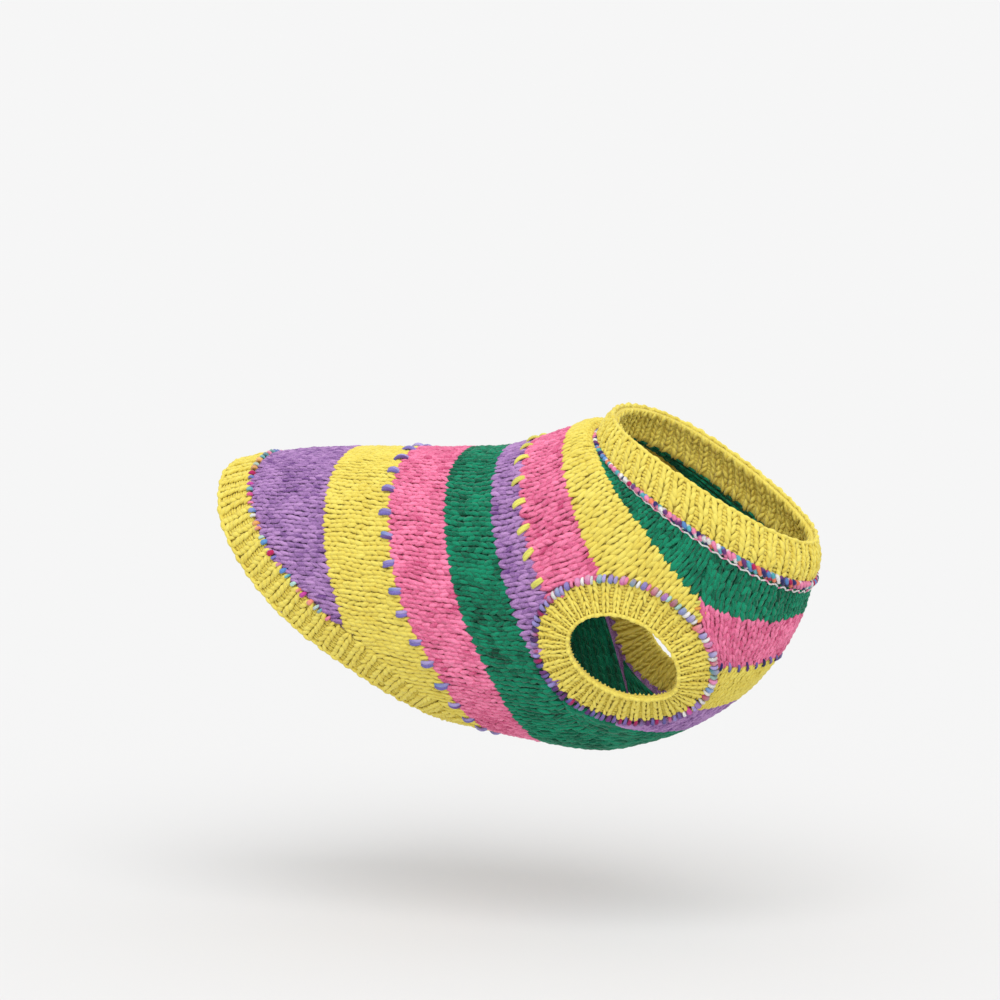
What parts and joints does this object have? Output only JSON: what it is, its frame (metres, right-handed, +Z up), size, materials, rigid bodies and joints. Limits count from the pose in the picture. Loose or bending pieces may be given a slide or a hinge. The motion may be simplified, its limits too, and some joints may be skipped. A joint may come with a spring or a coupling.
{
  "type": "dog sweater",
  "caption": "Hand-knitted striped pet sweater in its worn hollow form, with a ribbed collar, ribbed arm openings and a slanted ribbed hem.",
  "frame": {"origin": "inner face of the back on the middle line, over the shoulders, where the wearer's back carries the sweater", "axes": "+X towards the neck, +Y towards the wearer's left, +Z up"},
  "size_m": [0.3054, 0.1232, 0.1704],
  "materials": {
    "yellow_yarn": "soft brushed wool blend, matt",
    "purple_yarn": "soft brushed wool blend, matt",
    "pink_yarn": "soft brushed wool blend, matt",
    "green_yarn": "soft brushed wool blend, matt",
    "sewing_yarn": "thick overcast stitches in contrast yarn"
  },
  "bodies": {
    "root": {"rear_panel": "purple_yarn", "middle_panel": "pink_yarn", "yoke_panel": "yellow_yarn", "chest_panel": "green_yarn", "bib_panel": "pink_yarn", "neck_rib": "yellow_yarn", "hem_rib": "yellow_yarn", "armhole_rib_right": "yellow_yarn", "armhole_rib_left": "yellow_yarn"}
  },
  "joints": []
}
